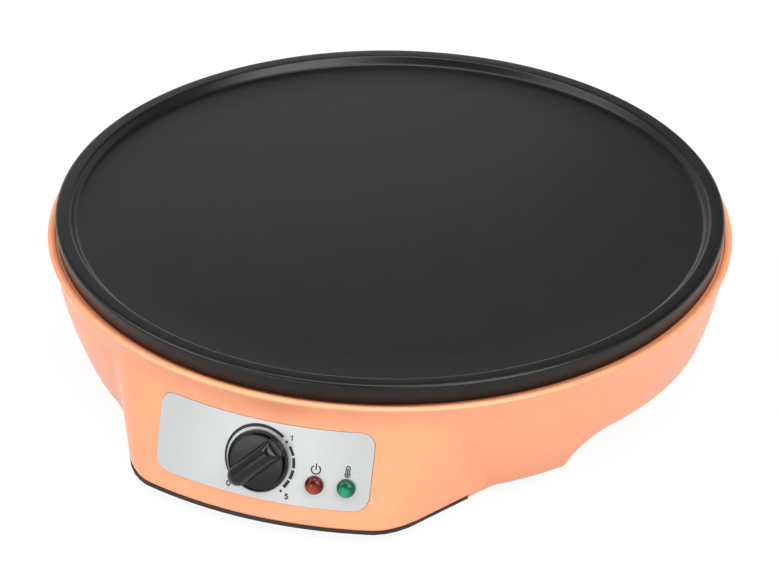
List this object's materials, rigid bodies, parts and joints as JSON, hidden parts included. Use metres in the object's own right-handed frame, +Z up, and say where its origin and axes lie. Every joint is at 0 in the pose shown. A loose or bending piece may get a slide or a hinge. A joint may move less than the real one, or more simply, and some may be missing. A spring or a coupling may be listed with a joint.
{
  "type": "electric crepe maker",
  "caption": "Electric crepe maker: a round non-stick plate on a bowl-shaped plastic housing, with a turning thermostat knob and two lamps on a front panel.",
  "frame": {"origin": "on the surface the feet stand on, under the middle of the bounding box", "axes": "+Z up, -Y towards the control panel, +X to the right as seen from the panel side"},
  "size_m": [0.3178, 0.3366, 0.0725],
  "materials": {
    "nonstick": "matte dark grey non-stick coating on cast aluminium",
    "orange_plastic": "semi-gloss moulded plastic",
    "panel_grey": "satin light grey panel",
    "black_plastic": "satin",
    "knob_plastic": "semi-gloss",
    "black_rubber": "matte",
    "red_lens": "clear moulded lens",
    "green_lens": "clear moulded lens",
    "lamp_glass": "clear",
    "zinc_steel": "zinc plated",
    "element_steel": "heat-darkened",
    "aluminised_sheet": "pressed sheet",
    "brass": "turned",
    "copper": "drawn copper",
    "ceramic_white": "unglazed",
    "bakelite": "moulded",
    "nylon_white": "moulded",
    "blue_insulation": "wire insulation",
    "brown_insulation": "wire insulation",
    "black_insulation": "wire insulation",
    "grey_insulation": "wire insulation",
    "green_yellow_insulation": "wire insulation"
  },
  "bodies": {
    "base": {"cooking_plate": "nonstick", "plate_screws": "zinc_steel", "plate_washers": "zinc_steel", "heating_element": "element_steel", "element_insulators": "ceramic_white", "element_tabs": "zinc_steel", "element_straps": "zinc_steel", "strap_screws": "zinc_steel", "heat_shield": "aluminised_sheet", "earth_tag": "brass", "earth_screw": "brass", "sensor_bulb": "copper", "bulb_clip": "zinc_steel", "bulb_clip_screws": "zinc_steel", "capillary_tube": "copper", "thermal_fuse": "zinc_steel", "fuse_clip": "zinc_steel", "fuse_clip_screw": "zinc_steel", "housing": "orange_plastic", "control_panel": "panel_grey", "thermostat_bush": "zinc_steel", "thermostat_nut": "zinc_steel", "thermostat_washer": "zinc_steel", "thermostat_case": "bakelite", "thermostat_capsule": "copper", "thermostat_tabs": "zinc_steel", "power_lens": "red_lens", "ready_lens": "green_lens", "power_lamp": "lamp_glass", "ready_lamp": "lamp_glass", "lens_clips": "zinc_steel", "terminal_block": "nylon_white", "terminal_screws": "zinc_steel", "terminal_block_screws": "zinc_steel", "live_wire": "brown_insulation", "switched_wire": "black_insulation", "neutral_wire": "blue_insulation", "fuse_wire": "blue_insulation", "earth_wire": "green_yellow_insulation", "power_lamp_wires": "grey_insulation", "ready_lamp_wires": "grey_insulation", "cord_gland": "black_plastic", "gland_nut": "black_plastic", "base_cover": "black_plastic", "cover_screws": "zinc_steel", "foot_1": "black_rubber", "foot_2": "black_rubber", "foot_3": "black_rubber", "foot_4": "black_rubber"},
    "knob": {"knob": "knob_plastic", "knob_spring": "zinc_steel", "thermostat_spindle": "brass"}
  },
  "joints": [
    {"name": "knob_turn", "type": "hinge", "parent": "base", "child": "knob", "pos_m": [0.0005, -0.1532, 0.0323], "axis": [-0.0028, 0.9588, -0.284], "range_deg": [0, 270]}
  ]
}
